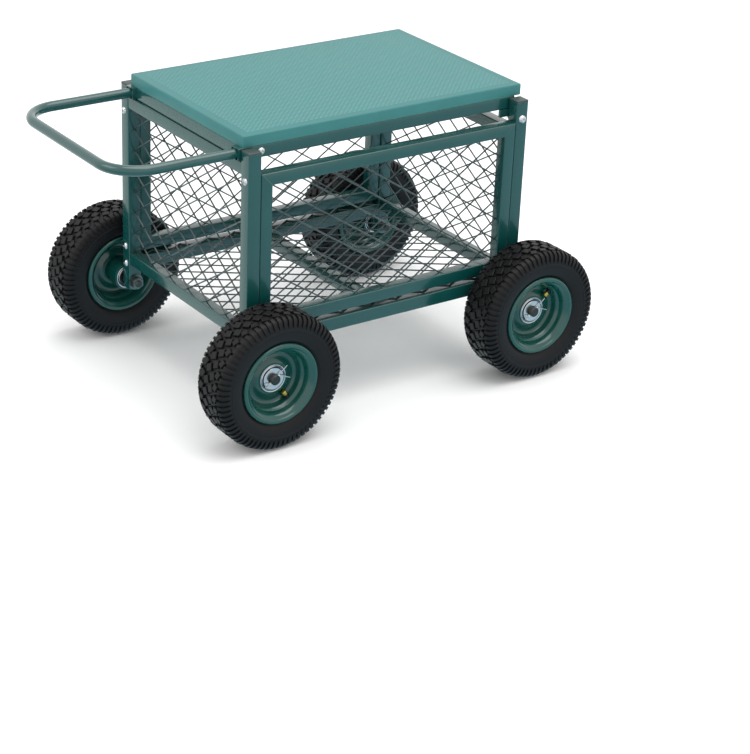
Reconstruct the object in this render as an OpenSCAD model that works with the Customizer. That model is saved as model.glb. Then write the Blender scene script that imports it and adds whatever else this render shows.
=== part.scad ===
// Four-wheeled garden cart: a mesh box on pneumatic wheels, under a hinged seat lid with a push handle.
// X runs along the cart with the handle (front) at -X, Y runs across it, and Z is up from the ground.
// The origin is on the ground, below the middle of the whole cart, handle and tyres included.
// Left is -Y and right is +Y, as seen by somebody who pulls the cart by its handle.

/* [Body] */
// Length over the corner posts
body_l = 518; // [430:0.1:640]
// Width over the corner posts
body_w = 380; // [310:0.1:470]
// Height of the corner posts, from foot to cap
post_h = 350; // [290:1:430]
// Side of the square corner posts
post_w = 22; // [18:0.2:27]
// Side of the square rails of the ends, the side frames and the lid
rail_w = 20; // [16.5:0.5:24]
// Side of the square base rails
base_rail_w = 22; // [18:0.5:24]
// Wall of every square tube
tube_wall = 1.5; // [1:0.1:1.8]
// Height of the post feet below the axles
foot_drop = 12; // [10:0.5:16]
// Height of the base rails above the axles
base_lift = 21; // [16:0.5:30]
// Height of the end rails above the underside of the base rails
end_lift = 11; // [4:0.5:14]
// Gap between the base rails and the side frames
side_gap = 8.5; // [5:0.5:16]
// Distance from the post tops down to the side frames
side_drop = 35.5; // [32:0.5:60]
// Distance from the post tops down to the front rail
front_drop = 19; // [12:0.5:30]
// Distance from the post tops down to the rear rail
rear_drop = 47.5; // [44:0.5:60]

/* [Mesh] */
// Width of one diamond
mesh_l = 54; // [36:0.5:70]
// Height of one diamond
mesh_h = 34.5; // [24:0.5:50]
// Width of a strand
strand_w = 2.6; // [2:0.1:4]
// Thickness of the mesh
mesh_t = 2.5; // [1.5:0.1:4]

/* [Lid] */
// Thickness of the seat panel
panel_t = 17.6; // [12:0.2:26]
// Thickness of the panel's sheet metal
panel_sheet = 1.2; // [0.8:0.1:2]
// How far the panel stops short of the front of the posts
panel_front_inset = 4; // [0:0.5:12]
// How far the panel stands past the rear of the posts
panel_rear_reach = 2.5; // [0:0.5:8]
// How far the lid rails stand out in front of the panel
rail_nose = 8; // [4:0.5:20]
// Gap between the lid and the posts on each side
lid_gap = 2; // [1.5:0.1:4]
// Distance from the lid rails down to the hinge pivot
hinge_drop = 12.1; // [11:0.1:16]

/* [Handle] */
// Gap around the handle tube inside a lid rail
handle_gap = 0.5; // [0.2:0.1:1.5]
// Distance from the front of the posts to the handle's cross bar
handle_reach = 196; // [120:1:260]
// Radius of the handle's bends
handle_bend = 58; // [40:1:80]
// Length of handle tube inside each lid rail
handle_grip = 60; // [50:1:100]

/* [Wheels] */
// Diameter of the tyres
tyre_d = 220; // [200:1:266]
// Width of the tyres
tyre_w = 75; // [72:1:90]
// Gap between the posts and the tyres
wheel_gap = 12.5; // [8:0.5:25]
// Diameter of the tyre's seat on the rim
rim_seat_d = 103.6; // [95:0.2:108]
// Height of the rim flange above the seat
flange_h = 14; // [11:0.5:15]
// Thickness of the rim's pressed steel
rim_t = 2; // [1.5:0.1:2.5]
// Diameter of the wheel bearings' outer ring
bearing_d = 40; // [36:0.5:42]
// Width of a wheel bearing
bearing_w = 12; // [9:0.5:14]
// Diameter of the stub axles
axle_d = 16; // [12:0.5:18]

/* [Hidden] */
$fn = 64;

// Colours
bottle_green = [0.02, 0.24, 0.18];
wire_green = [0.05, 0.2, 0.17];
lid_teal = [0.2, 0.52, 0.5];
liner_teal = [0.4, 0.62, 0.6];
zinc = [0.78, 0.78, 0.76];
black = [0.06, 0.06, 0.06];

// Overlap that carries a cut past a face
cut = 1;

// Heights, stacked up from the axles
tyre_r = tyre_d / 2;
axle_z = tyre_r;
post_foot = axle_z - foot_drop;
post_top = post_foot + post_h;
base_z = axle_z + base_lift;
base_top = base_z + base_rail_w;
end_z = base_z + end_lift;
side_z = base_top + side_gap;
side_top = post_top - side_drop;
front_rail_top = post_top - front_drop;
rear_rail_top = post_top - rear_drop;
lid_rest_gap = 0.4;
lid_z = front_rail_top + lid_rest_gap;
panel_z = lid_z + rail_w;

// Plan positions
body_x = body_l / 2;
body_y = body_w / 2;
post_x = body_x - post_w / 2;
post_y = body_y - post_w / 2;
inner_x = body_x - post_w;
inner_y = body_y - post_w;
side_y = body_y - rail_w / 2;
base_y = body_y - base_rail_w / 2;
joint_gap = 0.5;
frame_x = inner_x - joint_gap;
frame_inset = body_x - frame_x;
end_x = max(post_x, inner_x + rail_w / 2);

// Post caps
cap_h = 3;
cap_plug = 12;
cap_gap = 0.1;

// Bolts that hold the side frames and base rails to the posts
bolt_d = 6;
bolt_head_d = 12;
bolt_head_h = 3.5;
bolt_gap = 0.3;
nut_w = 10;
nut_h = 5;
bolt_tail = 2;
side_bolt_low = side_z + rail_w / 2;
side_bolt_high = side_top - rail_w / 2;
base_bolt_z = base_z + base_rail_w / 2;

// Stub axles: a collar against the post, a threaded tail through it and a nut inside
wheel_y = body_y + wheel_gap + tyre_w / 2;
collar_d = 26;
collar_t = 3;
tail_d = 12;
tail_gap = 0.2;
washer_t = 2;
axle_nut_w = 18;
axle_nut_h = 8;
axle_slack = 0.5;
hub_out = 8.5;
hub_in = -(wheel_y - body_y - collar_t - axle_slack);
washer_at = hub_out + axle_slack;
pin_at = washer_at + washer_t + 2.6;
axle_end = pin_at + 5;
washer_d = axle_d + 19;
washer_gap = 0.2;

// Cotter pins
pin_d = 3;
pin_gap = 0.2;
pin_l = axle_d + 10;
pin_eye_r = 3.6;
pin_turn = 35;

// Wheel sections, with radii measured from the axle and offsets outwards from the wheel's middle plane
seat_r = rim_seat_d / 2;
flange_r = seat_r + flange_h;
flange_at = tyre_w / 2 - 8;
well_depth = 5;
bearing_r = bearing_d / 2;
bearing_fit = 0.05;
bearing_bore = axle_d + 2 * bearing_fit;
hub_wall = 3;
hub_r = bearing_r + hub_wall;
hub_step = 2;
bead_clear = 0.3;
bead_chamfer = 2.4;
crown_t = 8;
tube_rise = 2.2;
sidewall_t = 4;
cavity_r = min(tyre_r - crown_t - seat_r - tube_rise, tyre_w - 2 * sidewall_t) / 2;
cavity_at = seat_r + tube_rise + cavity_r;
inner_tube_gap = 0.4;
inner_tube_wall = 2;
valve_d = 8;
valve_cap_d = 9.6;
valve_cap_h = 7;
valve_at = 9;
valve_hole_gap = 0.4;
valve_tip_r = hub_r + 8;

// Lid frame
lid_y = inner_y - lid_gap;
lid_rail_y = lid_y - rail_w / 2;
panel_x0 = -body_x + panel_front_inset;
panel_x1 = body_x + panel_rear_reach;
hinge_x = post_x;
hinge_z = lid_z - hinge_drop;
lid_rail_x0 = panel_x0 - rail_nose;
lid_rail_x1 = hinge_x + 1;
crossbar_count = 5;
crossbar_step = (lid_rail_x1 - panel_x0 - rail_w) / (crossbar_count - 1);
liner_t = 1;
liner_gap = 0.1;

// Hinge
hinge_d = 8;
hinge_fit = 0.08;
lug_t = 4;
lug_r = 9;
lug_gap = 0.5;
lug_y = inner_y - lug_gap - lug_t / 2;
lug_l = 28;
hinge_head_d = 14;
hinge_head_h = 4.5;
hinge_nut_w = 13;
hinge_nut_h = 6.5;
hinge_nut_gap = 0.5;
hinge_nut_y = lug_y - lug_t / 2 - hinge_nut_gap;
hinge_tail = 9;

// Handle
handle_d = rail_w - 2 * (tube_wall + handle_gap);
handle_x = -body_x - handle_reach;
handle_z = lid_z + rail_w / 2;
handle_wall = 1.5;
handle_bolt_x = lid_rail_x0 + 40;

// The whole cart's middle lies at the origin
cart_front = handle_x - handle_d / 2;
cart_rear = post_x + tyre_r;
cart_x = -(cart_front + cart_rear) / 2;

module placed() {
    translate([cart_x, 0, 0]) children();
}

// Hexagonal nut along +Z, standing on the origin
module nut(width, height, bore) {
    difference() {
        cylinder(d = width / cos(30), h = height, $fn = 6);
        translate([0, 0, -cut]) cylinder(d = bore, h = height + 2 * cut);
    }
}

// Round-headed bolt along +Z: its head stands on the origin and its shank runs below
module bolt(size, head_d, head_h, length) {
    cylinder(d1 = head_d, d2 = head_d * 0.6, h = head_h);
    translate([0, 0, -length]) cylinder(d = size, h = length + cut);
}

// Square tube along X, from x0 to x1, centred on the axis
module tube_x(x0, x1, width) {
    difference() {
        translate([x0, -width / 2, -width / 2]) cube([x1 - x0, width, width]);
        translate([x0 - cut, tube_wall - width / 2, tube_wall - width / 2])
            cube([x1 - x0 + 2 * cut, width - 2 * tube_wall, width - 2 * tube_wall]);
    }
}

// Square tube along Y, between -half and half
module tube_y(half, width) {
    rotate([0, 0, 90]) tube_x(-half, half, width);
}

// Square tube along X with its ends cut at 45 degrees, its long side down
module mitred_tube(length, width) {
    half = length / 2;
    in = tube_wall;
    out = width - tube_wall;
    difference() {
        rotate([90, 0, 0])
            linear_extrude(height = width, center = true)
                polygon([[-half, 0], [half, 0], [half - width, width], [width - half, width]]);
        rotate([90, 0, 0])
            linear_extrude(height = width - 2 * tube_wall, center = true)
                polygon([[in - half - cut, in], [half - in + cut, in],
                         [half - out + cut, out], [out - half - cut, out]]);
    }
}

// ---- Corner posts and caps ----

module post(end, side) {
    holes_z = [side_bolt_low, side_bolt_high];
    color(bottle_green)
        placed()
            difference() {
                translate([end * post_x, side * post_y, 0])
                    difference() {
                        translate([-post_w / 2, -post_w / 2, post_foot])
                            cube([post_w, post_w, post_h - cap_h]);
                        translate([tube_wall - post_w / 2, tube_wall - post_w / 2, post_foot - cut])
                            cube([post_w - 2 * tube_wall, post_w - 2 * tube_wall, post_h + 2 * cut]);
                    }
                for (z = holes_z)
                    translate([end * post_x, side * side_y, z])
                        rotate([0, 90, 0])
                            cylinder(d = bolt_d + 2 * bolt_gap, h = post_w + 2 * cut, center = true);
                translate([end * post_x, side * base_y, base_bolt_z])
                    rotate([0, 90, 0])
                        cylinder(d = bolt_d + 2 * bolt_gap, h = post_w + 2 * cut, center = true);
                translate([end * post_x, side * post_y, axle_z])
                    rotate([90, 0, 0])
                        cylinder(d = tail_d + 2 * tail_gap, h = post_w + 2 * cut, center = true);
                if (end > 0)
                    translate([hinge_x, side * post_y, hinge_z])
                        rotate([90, 0, 0])
                            cylinder(d = hinge_d + 2 * bolt_gap, h = post_w + 2 * cut, center = true);
            }
}

module post_caps() {
    plug = post_w - 2 * tube_wall - 2 * cap_gap;
    color(black)
        placed()
            for (end = [-1, 1], side = [-1, 1])
                translate([end * post_x, side * post_y, post_top - cap_h]) {
                    translate([-post_w / 2, -post_w / 2, 0]) cube([post_w, post_w, cap_h]);
                    translate([-plug / 2, -plug / 2, -cap_plug]) cube([plug, plug, cap_plug + cut]);
                }
}

// ---- End rails ----

module end_rail(end, z) {
    color(bottle_green)
        placed()
            translate([end * end_x, 0, z + rail_w / 2])
                tube_y(inner_y, rail_w);
}

// ---- Side frames: four mitred tubes each ----

module side_frame(side) {
    length = 2 * frame_x;
    height = side_top - side_z;
    middle = (side_top + side_z) / 2;
    color(bottle_green)
        placed()
            translate([0, side * side_y, 0]) {
                translate([0, 0, side_z]) mitred_tube(length, rail_w);
                translate([0, 0, side_top]) rotate([180, 0, 0]) mitred_tube(length, rail_w);
                for (end = [-1, 1])
                    difference() {
                        translate([end * frame_x, 0, middle])
                            rotate([0, -end * 90, 0])
                                mitred_tube(height, rail_w);
                        for (z = [side_bolt_low, side_bolt_high])
                            translate([end * frame_x, 0, z])
                                rotate([0, 90, 0])
                                    cylinder(d = bolt_d + 2 * bolt_gap, h = 4 * tube_wall, center = true);
                    }
            }
}

// ---- Base rails, closed at their ends, and the floor crossbar ----

module base_rail(side) {
    hollow = base_rail_w - 2 * tube_wall;
    color(bottle_green)
        placed()
            translate([0, side * base_y, base_bolt_z])
                difference() {
                    cube([2 * frame_x, base_rail_w, base_rail_w], center = true);
                    cube([2 * (frame_x - tube_wall), hollow, hollow], center = true);
                    rotate([0, 90, 0])
                        cylinder(d = bolt_d + 2 * bolt_gap, h = 2 * frame_x + 2 * cut, center = true);
                }
}

module floor_crossbar() {
    color(bottle_green)
        placed()
            translate([0, 0, base_top - rail_w / 2])
                tube_y(body_y - base_rail_w, rail_w);
}

// ---- Diamond mesh: one pressed sheet for each side, a whole number of half diamonds long and high ----

module diamond(half_l, half_h) {
    slant = strand_w * norm([half_l, half_h]) / 2;
    l = half_l - slant / half_h;
    h = half_h - slant / half_l;
    polygon([[-l, 0], [0, -h], [l, 0], [0, h]]);
}

module mesh_sheet(length, height) {
    columns = round(2 * length / mesh_l);
    rows = round(2 * height / mesh_h);
    step_l = length / columns;
    step_h = height / rows;
    linear_extrude(height = mesh_t, center = true)
        difference() {
            square([length, height], center = true);
            for (i = [0 : columns], j = [0 : rows])
                if ((i + j) % 2 == 1)
                    translate([i * step_l - length / 2, j * step_h - height / 2])
                        diamond(step_l, step_h);
        }
}

module end_mesh(end, top) {
    low = end_z + rail_w;
    high = top - rail_w;
    color(wire_green)
        placed()
            translate([end * post_x, 0, (low + high) / 2])
                rotate([90, 0, 90])
                    mesh_sheet(2 * inner_y, high - low);
}

module side_mesh(side) {
    low = side_z + rail_w;
    high = side_top - rail_w;
    color(wire_green)
        placed()
            translate([0, side * side_y, (low + high) / 2])
                rotate([90, 0, 0])
                    mesh_sheet(2 * (frame_x - rail_w), high - low);
}

module floor_mesh() {
    color(wire_green)
        placed()
            translate([0, 0, base_top + mesh_t / 2])
                mesh_sheet(2 * frame_x, 2 * side_y);
}

// ---- Frame fasteners ----

module at_frame_bolts() {
    spots = [[side_y, side_bolt_low], [side_y, side_bolt_high], [base_y, base_bolt_z]];
    placed()
        for (end = [-1, 1], side = [-1, 1], spot = spots)
            translate([end * body_x, side * spot[0], spot[1]])
                rotate([0, end * 90, 0])
                    children();
}

module frame_bolts() {
    color(zinc)
        at_frame_bolts()
            bolt(bolt_d, bolt_head_d, bolt_head_h, frame_inset + tube_wall + nut_h + bolt_tail);
}

module frame_nuts() {
    color(zinc)
        at_frame_bolts()
            translate([0, 0, -(frame_inset + tube_wall + nut_h)])
                nut(nut_w, nut_h, bolt_d);
}

// ---- Wheels, drawn about the Z axis with the outboard side up, then laid in place ----

module at_wheel(end, side) {
    placed()
        translate([end * post_x, side * wheel_y, axle_z])
            rotate([-side * 90, 0, 0])
                rotate([0, 0, valve_turn(end, side)])
                    children();
}

// Each wheel has stopped at its own angle, given by where its valve points
function valve_turn(end, side) = side * (end > 0 ? -40 : 55);

module tyre_section() {
    half = tyre_w / 2;
    bead_r = seat_r + bead_clear;
    bead = flange_at - bead_clear;
    lip_r = flange_r + 2;
    rise = tyre_r - lip_r;
    difference() {
        polygon([
            [bead_r, bead_chamfer - bead], [bead_r + bead_chamfer, -bead],
            [lip_r, -bead], [lip_r + 0.16 * rise, 3 - half],
            [lip_r + 0.32 * rise, 0.4 - half], [lip_r + 0.48 * rise, -half],
            [lip_r + 0.72 * rise, 0.8 - half], [lip_r + 0.88 * rise, 3 - half],
            [tyre_r - 1.2, 9 - half], [tyre_r, 17 - half],
            [tyre_r, half - 17], [tyre_r - 1.2, half - 9],
            [lip_r + 0.88 * rise, half - 3], [lip_r + 0.72 * rise, half - 0.8],
            [lip_r + 0.48 * rise, half], [lip_r + 0.32 * rise, half - 0.4],
            [lip_r + 0.16 * rise, half - 3], [lip_r, bead],
            [bead_r + bead_chamfer, bead], [bead_r, bead - bead_chamfer]
        ]);
        translate([cavity_at, 0]) circle(r = cavity_r);
        translate([bead_r - cut, -cavity_r * 0.6]) square([cut + cavity_r, cavity_r * 1.2]);
    }
}

module tyre(end, side) {
    color(black)
        at_wheel(end, side)
            rotate_extrude($fn = 96) tyre_section();
}

module inner_tube(end, side) {
    outer = cavity_r - inner_tube_gap;
    color(black)
        at_wheel(end, side) {
            difference() {
                union() {
                    rotate_extrude($fn = 96) translate([cavity_at, 0]) circle(r = outer);
                    translate([valve_tip_r, 0, valve_at])
                        rotate([0, 90, 0]) cylinder(d = valve_d, h = cavity_at - outer - valve_tip_r + 6);
                    translate([valve_tip_r, 0, valve_at])
                        rotate([0, 90, 0]) cylinder(d = valve_cap_d, h = valve_cap_h);
                }
                rotate_extrude($fn = 96)
                    translate([cavity_at, 0]) circle(r = outer - inner_tube_wall);
            }
        }
}

function unit(v) = v / norm(v);
function normal(a, b) = unit([a[1] - b[1], b[0] - a[0]]);
function corner_normal(path, i) =
    i == 0 ? normal(path[0], path[1])
    : i == len(path) - 1 ? normal(path[i - 1], path[i])
    : unit(normal(path[i - 1], path[i]) + normal(path[i], path[i + 1]));
function corner_reach(path, i) =
    i == 0 || i == len(path) - 1 ? 1
    : 1 / (corner_normal(path, i) * normal(path[i - 1], path[i]));
function beside(path, d) =
    [for (i = [0 : len(path) - 1]) path[i] + d * corner_reach(path, i) * corner_normal(path, i)];
function wall_outline(path, t) =
    let (left = beside(path, t / 2), right = beside(path, -t / 2))
    concat(left, [for (i = [len(right) - 1 : -1 : 0]) right[i]]);

// Middle line of the pressed steel, from the hub to the flange's lip
function rim_path() =
    let (
        seat = seat_r - rim_t / 2,
        well = seat - well_depth,
        edge = flange_at + rim_t / 2,
        bend = 7,
        arc = [for (a = [-75 : 15 : 0]) [well - bend + bend * cos(a), bend + rim_t / 2 + bend * sin(a)]]
    )
    concat(
        [[hub_r, hub_step + 4.6], [hub_r + 4, hub_step + 4.6],
         [hub_r + 8, rim_t / 2], [well - bend, rim_t / 2]],
        arc,
        [[well, edge - 17], [seat, edge - 13], [seat, edge - 2.4], [seat + 0.8, edge - 0.7],
         [seat + 2.4, edge], [flange_r - 3.6, edge + 0.2], [flange_r - 1.9, edge + 1],
         [flange_r - 1.2, edge + 2.8]]
    );

module rim_half(end, side, face) {
    color(bottle_green)
        at_wheel(end, side)
            difference() {
                rotate([face > 0 ? 0 : 180, 0, 0])
                    rotate_extrude($fn = 96)
                        polygon(wall_outline(rim_path(), rim_t));
                if (face > 0)
                    translate([valve_tip_r, 0, valve_at])
                        rotate([0, 90, 0])
                            cylinder(d = valve_d + 2 * valve_hole_gap, h = seat_r - valve_tip_r + cut);
            }
}

module hub(end, side) {
    length = hub_out - hub_in;
    color(bottle_green)
        at_wheel(end, side)
            translate([0, 0, hub_in])
                difference() {
                    cylinder(r = hub_r, h = length);
                    translate([0, 0, -cut]) cylinder(r = bearing_r - 3, h = length + 2 * cut);
                    translate([0, 0, -cut]) cylinder(r = bearing_r, h = bearing_w + cut);
                    translate([0, 0, length - bearing_w]) cylinder(r = bearing_r, h = bearing_w + cut);
                }
}

// Each bearing is an outer ring and an inner ring with a sealed race between them
module bearings(end, side) {
    race_out = bearing_r - 4;
    race_in = axle_d / 2 + 4;
    shield_in = 0.8;
    color(zinc)
        at_wheel(end, side)
            for (z = [hub_in, hub_out - bearing_w])
                translate([0, 0, z])
                    difference() {
                        cylinder(r = bearing_r, h = bearing_w);
                        translate([0, 0, -cut]) cylinder(d = bearing_bore, h = bearing_w + 2 * cut);
                        for (face = [-cut, bearing_w - shield_in])
                            translate([0, 0, face])
                                difference() {
                                    cylinder(r = race_out, h = cut + shield_in);
                                    cylinder(r = race_in, h = 3 * cut, center = true);
                                    translate([0, 0, cut]) cylinder(r = race_in, h = cut);
                                }
                    }
}

// ---- Stub axles and their fasteners ----

module at_axles() {
    placed()
        for (end = [-1, 1], side = [-1, 1])
            translate([end * post_x, side * wheel_y, axle_z])
                rotate([-side * 90, 0, 0])
                    children();
}

module stub_axles() {
    face = body_y - wheel_y;
    tail = face - post_w - washer_t - axle_nut_h - 3;
    color(zinc)
        at_axles()
            difference() {
                union() {
                    translate([0, 0, tail]) cylinder(d = tail_d, h = face - tail + cut);
                    translate([0, 0, face]) cylinder(d = collar_d, h = collar_t);
                    translate([0, 0, face]) cylinder(d = axle_d, h = axle_end - face);
                }
                translate([0, 0, pin_at])
                    rotate([0, 90, pin_turn])
                        cylinder(d = pin_d + 2 * pin_gap, h = axle_d + 2 * cut, center = true);
            }
}

module washer(outside, inside) {
    difference() {
        cylinder(d = outside, h = washer_t);
        translate([0, 0, -cut]) cylinder(d = inside, h = washer_t + 2 * cut);
    }
}

module axle_washers() {
    face = body_y - wheel_y - post_w - washer_t;
    color(zinc)
        at_axles() {
            translate([0, 0, washer_at]) washer(washer_d, axle_d + 2 * washer_gap);
            translate([0, 0, face]) washer(tail_d + 14, tail_d + 2 * washer_gap);
        }
}

module cotter_pins() {
    color(zinc)
        at_axles()
            translate([0, 0, pin_at])
                rotate([0, 90, pin_turn]) {
                    cylinder(d = pin_d, h = pin_l, center = true);
                    translate([0, 0, -pin_l / 2 - pin_eye_r])
                        rotate([0, 90, 0])
                            rotate_extrude($fn = 32) translate([pin_eye_r, 0]) circle(d = pin_d, $fn = 24);
                }
}

module axle_nuts() {
    face = body_y - wheel_y - post_w - washer_t - axle_nut_h;
    color(zinc)
        at_axles()
            translate([0, 0, face]) nut(axle_nut_w, axle_nut_h, tail_d);
}

// ---- Lid ----

module lid_rail(side) {
    color(bottle_green)
        placed()
            translate([0, side * lid_rail_y, handle_z])
                difference() {
                    tube_x(lid_rail_x0, lid_rail_x1, rail_w);
                    translate([handle_bolt_x, 0, 0])
                        rotate([90, 0, 0])
                            cylinder(d = bolt_d + 2 * bolt_gap, h = rail_w + 2 * cut, center = true);
                }
}

module lid_crossbars() {
    color(bottle_green)
        placed()
            for (i = [0 : crossbar_count - 1])
                translate([panel_x0 + rail_w / 2 + i * crossbar_step, 0, handle_z])
                    tube_y(lid_y - rail_w, rail_w);
}

module lid_panel() {
    color(lid_teal)
        placed()
            translate([panel_x0, -lid_y, panel_z])
                difference() {
                    cube([panel_x1 - panel_x0, 2 * lid_y, panel_t]);
                    translate([panel_sheet, panel_sheet, -panel_sheet])
                        cube([panel_x1 - panel_x0 - 2 * panel_sheet, 2 * lid_y - 2 * panel_sheet, panel_t]);
                }
}

module lid_liner() {
    inset = panel_sheet + liner_gap;
    color(liner_teal)
        placed()
            translate([panel_x0 + inset, inset - lid_y, panel_z])
                cube([panel_x1 - panel_x0 - 2 * inset, 2 * (lid_y - inset), liner_t]);
}

// ---- Hinge ----

module hinge_lugs() {
    color(bottle_green)
        placed()
            for (side = [-1, 1])
                translate([hinge_x, side * lug_y, hinge_z])
                    rotate([90, 0, 0])
                        linear_extrude(height = lug_t, center = true)
                            difference() {
                                union() {
                                    circle(r = lug_r);
                                    translate([lid_rail_x1 - hinge_x - lug_l, 0])
                                        square([lug_l, hinge_drop]);
                                    translate([-lug_r, 0]) square([lug_r, hinge_drop]);
                                }
                                circle(d = hinge_d + 2 * hinge_fit);
                            }
}

module at_hinge(y) {
    placed()
        for (side = [-1, 1])
            translate([hinge_x, side * y, hinge_z])
                rotate([-side * 90, 0, 0])
                    children();
}

module hinge_bolts() {
    color(zinc)
        at_hinge(body_y)
            bolt(hinge_d, hinge_head_d, hinge_head_h, body_y - hinge_nut_y + hinge_nut_h + hinge_tail);
}

module hinge_nuts() {
    color(zinc)
        at_hinge(hinge_nut_y - hinge_nut_h)
            nut(hinge_nut_w, hinge_nut_h, hinge_d);
}

// ---- Handle ----

module ring(d, wall) {
    difference() {
        circle(d = d);
        circle(d = d - 2 * wall);
    }
}

module handle() {
    leg_end = lid_rail_x0 + handle_grip;
    bend_x = handle_x + handle_bend;
    bend_y = lid_rail_y - handle_bend;
    color(bottle_green)
        placed()
            translate([0, 0, handle_z])
                difference() {
                    union() {
                        for (side = [-1, 1]) {
                            translate([bend_x, side * lid_rail_y, 0])
                                rotate([0, 90, 0])
                                    linear_extrude(height = leg_end - bend_x) ring(handle_d, handle_wall);
                            translate([bend_x, side * bend_y, 0])
                                rotate([0, 0, side > 0 ? 90 : 180])
                                    rotate_extrude(angle = 90)
                                        translate([handle_bend, 0]) ring(handle_d, handle_wall);
                        }
                        translate([handle_x, 0, 0])
                            rotate([90, 0, 0])
                                linear_extrude(height = 2 * bend_y, center = true) ring(handle_d, handle_wall);
                    }
                    for (side = [-1, 1])
                        translate([handle_bolt_x, side * lid_rail_y, 0])
                            rotate([90, 0, 0])
                                cylinder(d = bolt_d + 2 * bolt_gap, h = rail_w, center = true);
                }
}

module at_handle_bolts(y) {
    placed()
        for (side = [-1, 1])
            translate([handle_bolt_x, side * y, handle_z])
                rotate([-side * 90, 0, 0])
                    children();
}

module handle_bolts() {
    color(zinc)
        at_handle_bolts(lid_y)
            bolt(bolt_d, bolt_head_d, bolt_head_h, rail_w + nut_h + bolt_tail);
}

module handle_nuts() {
    color(zinc)
        at_handle_bolts(lid_y - rail_w - nut_h)
            nut(nut_w, nut_h, bolt_d);
}

tyre(-1, -1);  // front_left_tyre
inner_tube(-1, -1);  // front_left_inner_tube
rim_half(-1, -1, 1);  // front_left_rim_outer
rim_half(-1, -1, -1);  // front_left_rim_inner
hub(-1, -1);  // front_left_hub
bearings(-1, -1);  // front_left_bearings
tyre(-1, 1);  // front_right_tyre
inner_tube(-1, 1);  // front_right_inner_tube
rim_half(-1, 1, 1);  // front_right_rim_outer
rim_half(-1, 1, -1);  // front_right_rim_inner
hub(-1, 1);  // front_right_hub
bearings(-1, 1);  // front_right_bearings
tyre(1, -1);  // rear_left_tyre
inner_tube(1, -1);  // rear_left_inner_tube
rim_half(1, -1, 1);  // rear_left_rim_outer
rim_half(1, -1, -1);  // rear_left_rim_inner
hub(1, -1);  // rear_left_hub
bearings(1, -1);  // rear_left_bearings
tyre(1, 1);  // rear_right_tyre
inner_tube(1, 1);  // rear_right_inner_tube
rim_half(1, 1, 1);  // rear_right_rim_outer
rim_half(1, 1, -1);  // rear_right_rim_inner
hub(1, 1);  // rear_right_hub
bearings(1, 1);  // rear_right_bearings
stub_axles();
axle_washers();
cotter_pins();
axle_nuts();
post(-1, -1);  // front_left_post
post(-1, 1);  // front_right_post
post(1, -1);  // rear_left_post
post(1, 1);  // rear_right_post
post_caps();
end_rail(-1, front_rail_top - rail_w);  // front_top_rail
end_rail(-1, end_z);  // front_bottom_rail
end_rail(1, rear_rail_top - rail_w);  // rear_top_rail
end_rail(1, end_z);  // rear_bottom_rail
end_mesh(-1, front_rail_top);  // front_mesh
end_mesh(1, rear_rail_top);  // rear_mesh
side_mesh(-1);  // left_mesh
side_mesh(1);  // right_mesh
floor_mesh();
side_frame(-1);  // left_side_frame
side_frame(1);  // right_side_frame
base_rail(-1);  // left_base_rail
base_rail(1);  // right_base_rail
floor_crossbar();
frame_bolts();
frame_nuts();
lid_rail(-1);  // lid_left_rail
lid_rail(1);  // lid_right_rail
lid_crossbars();
lid_panel();
lid_liner();
hinge_lugs();
hinge_bolts();
hinge_nuts();
handle();
handle_bolts();
handle_nuts();
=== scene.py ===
import math

import bmesh
import bpy
from mathutils import Matrix, Quaternion, Vector


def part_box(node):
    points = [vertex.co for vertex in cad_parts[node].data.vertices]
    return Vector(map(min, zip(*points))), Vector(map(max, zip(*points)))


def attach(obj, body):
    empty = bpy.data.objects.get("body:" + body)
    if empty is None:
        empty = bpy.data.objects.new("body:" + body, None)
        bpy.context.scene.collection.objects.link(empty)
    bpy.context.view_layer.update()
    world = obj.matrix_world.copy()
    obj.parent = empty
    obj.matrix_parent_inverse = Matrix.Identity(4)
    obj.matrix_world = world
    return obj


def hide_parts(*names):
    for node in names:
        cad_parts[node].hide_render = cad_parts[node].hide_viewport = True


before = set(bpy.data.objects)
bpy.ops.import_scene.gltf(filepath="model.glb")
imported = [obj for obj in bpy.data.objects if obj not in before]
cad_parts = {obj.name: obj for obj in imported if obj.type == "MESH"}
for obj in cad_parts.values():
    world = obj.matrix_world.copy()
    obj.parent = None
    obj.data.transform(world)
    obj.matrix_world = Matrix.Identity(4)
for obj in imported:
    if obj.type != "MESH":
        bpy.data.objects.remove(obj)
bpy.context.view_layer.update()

# %% [markdown]
# # A garden cart with a hinged seat
# The imported model is the fixed frame of this lesson. It says where each tube, bolt and tyre is, in metres, with the
# handle towards -X and the ground at Z = 0. Every piece made below takes its place from that frame, so nothing
# has to be fitted by eye.

# %% Shared sizes and names
scene = bpy.context.scene
MM = 0.001
WALL = 1.5 * MM
RAIL = 20 * MM
CHASSIS, LID = "chassis", "lid"
CORNERS = [(end, side) for end in ("front", "rear") for side in ("left", "right")]

# %% [markdown]
# ## Camera
# The cart is looked at from its near front corner and from above, with a long lens from a few metres away, which
# keeps the tubes nearly parallel. A slight roll about the view axis finishes it. The camera is placed by angles
# about a point near the middle of the cart, because angles are easier to read and change than a matrix.

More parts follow.
